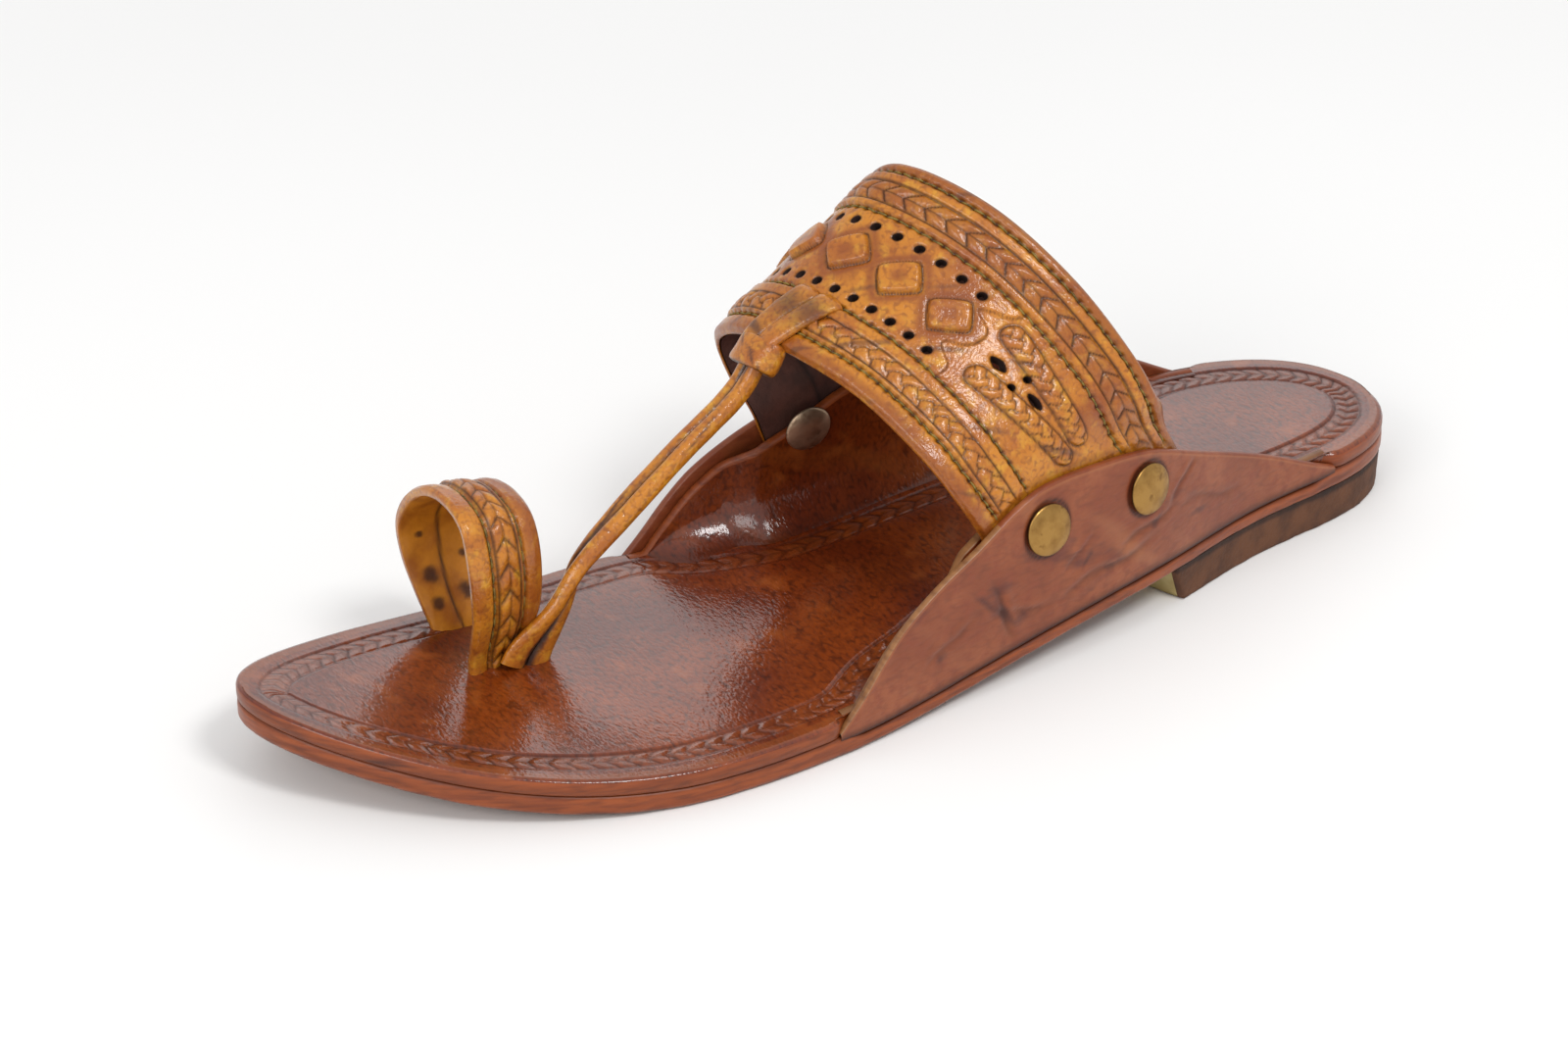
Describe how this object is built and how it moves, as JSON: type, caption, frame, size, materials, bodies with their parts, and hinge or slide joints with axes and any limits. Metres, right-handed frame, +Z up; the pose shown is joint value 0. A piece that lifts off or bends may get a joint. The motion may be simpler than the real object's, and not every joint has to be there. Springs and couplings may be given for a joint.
{
  "type": "kolhapuri chappal",
  "caption": "Left leather toe-ring sandal: flat layered sole, low heel, side flaps riveted to a plaited and punched instep band, and a rolled strap that runs from the band to the toes.",
  "frame": {"origin": "on the ground, halfway across the whole shoe's width and halfway along its length", "axes": "+Z up, +Y from the toe to the heel, +X towards the little toe's side of this left shoe"},
  "size_m": [0.0877, 0.2796, 0.096],
  "materials": {
    "sole_edge_leather": "cut and burnished edge, worn, with dark streaks",
    "varnished_sole_leather": "mottled deep red-brown, glossy varnish over a stamped grain",
    "heel_block": "stacked leather, rough and worn",
    "flap_leather": "waxed reddish brown with fine wrinkles and dark stains",
    "honey_leather": "honey-golden, glossy varnish with brown stains",
    "rivet_brass": "aged and stained"
  },
  "bodies": {
    "root": {"outsole": "sole_edge_leather", "top_sole": "varnished_sole_leather", "heel": "heel_block", "side_flap_lateral": "flap_leather", "side_flap_medial": "flap_leather", "upper": "honey_leather", "toe_ring": "honey_leather", "rivet_lateral_front": "rivet_brass", "rivet_lateral_rear": "rivet_brass", "rivet_medial_front": "rivet_brass", "rivet_medial_rear": "rivet_brass"}
  },
  "joints": []
}
